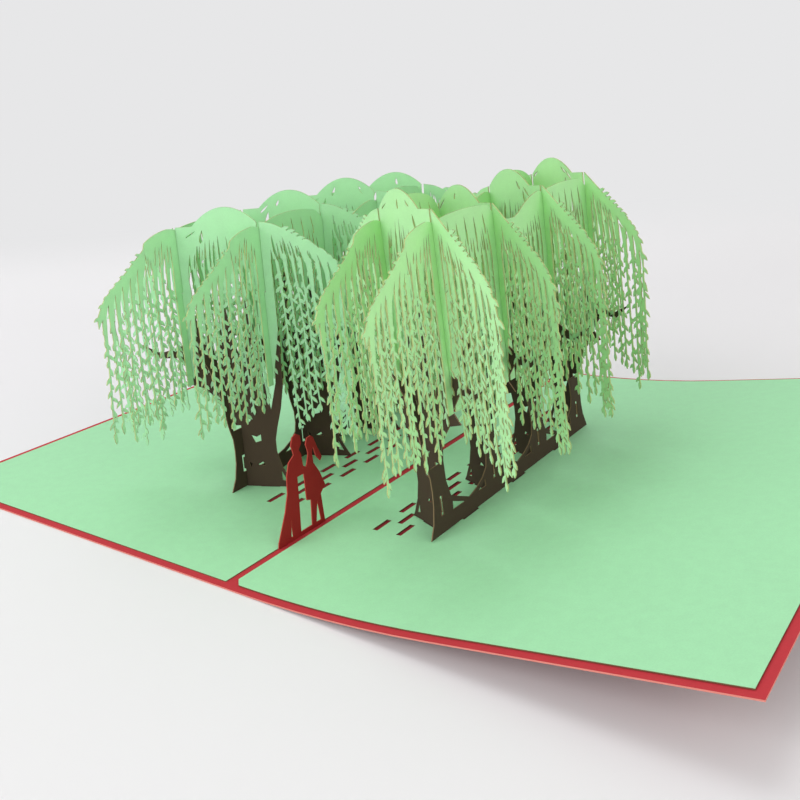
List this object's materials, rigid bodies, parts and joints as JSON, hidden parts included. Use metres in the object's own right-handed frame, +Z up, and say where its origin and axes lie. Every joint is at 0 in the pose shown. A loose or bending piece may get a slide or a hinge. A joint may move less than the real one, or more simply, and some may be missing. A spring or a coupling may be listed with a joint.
{
  "type": "pop up card",
  "caption": "Open greeting card whose cut paper willow trees stand up from slotted sheets over a folded red cover, with a couple at the fold.",
  "frame": {"origin": "middle of the spine fold, on the underside of the cover", "axes": "+X from the spine across the raised right panel, +Y along the spine away from the reader, +Z up from the table"},
  "size_m": [0.27, 0.2032, 0.096],
  "materials": {
    "cover_red": "matte",
    "liner_green": "matte",
    "canopy_green": "matte",
    "trunk_brown": "matte",
    "couple_red": "matte"
  },
  "bodies": {
    "root": {"cover": "cover_red", "left_liner": "liner_green", "right_liner": "liner_green", "couple": "couple_red", "left_trunk_strip": "trunk_brown", "left_cross_trunk_1": "trunk_brown", "left_cross_trunk_2": "trunk_brown", "left_cross_trunk_3": "trunk_brown", "left_cross_trunk_4": "trunk_brown", "left_cross_canopy_1": "canopy_green", "left_cross_canopy_2": "canopy_green", "left_cross_canopy_3": "canopy_green", "left_cross_canopy_4": "canopy_green", "left_outer_long_canopy": "canopy_green", "left_inner_long_canopy": "canopy_green", "right_trunk_strip": "trunk_brown", "right_cross_trunk_1": "trunk_brown", "right_cross_trunk_2": "trunk_brown", "right_cross_trunk_3": "trunk_brown", "right_cross_trunk_4": "trunk_brown", "right_cross_canopy_1": "canopy_green", "right_cross_canopy_2": "canopy_green", "right_cross_canopy_3": "canopy_green", "right_cross_canopy_4": "canopy_green", "right_outer_long_canopy": "canopy_green", "right_inner_long_canopy": "canopy_green"}
  },
  "joints": []
}
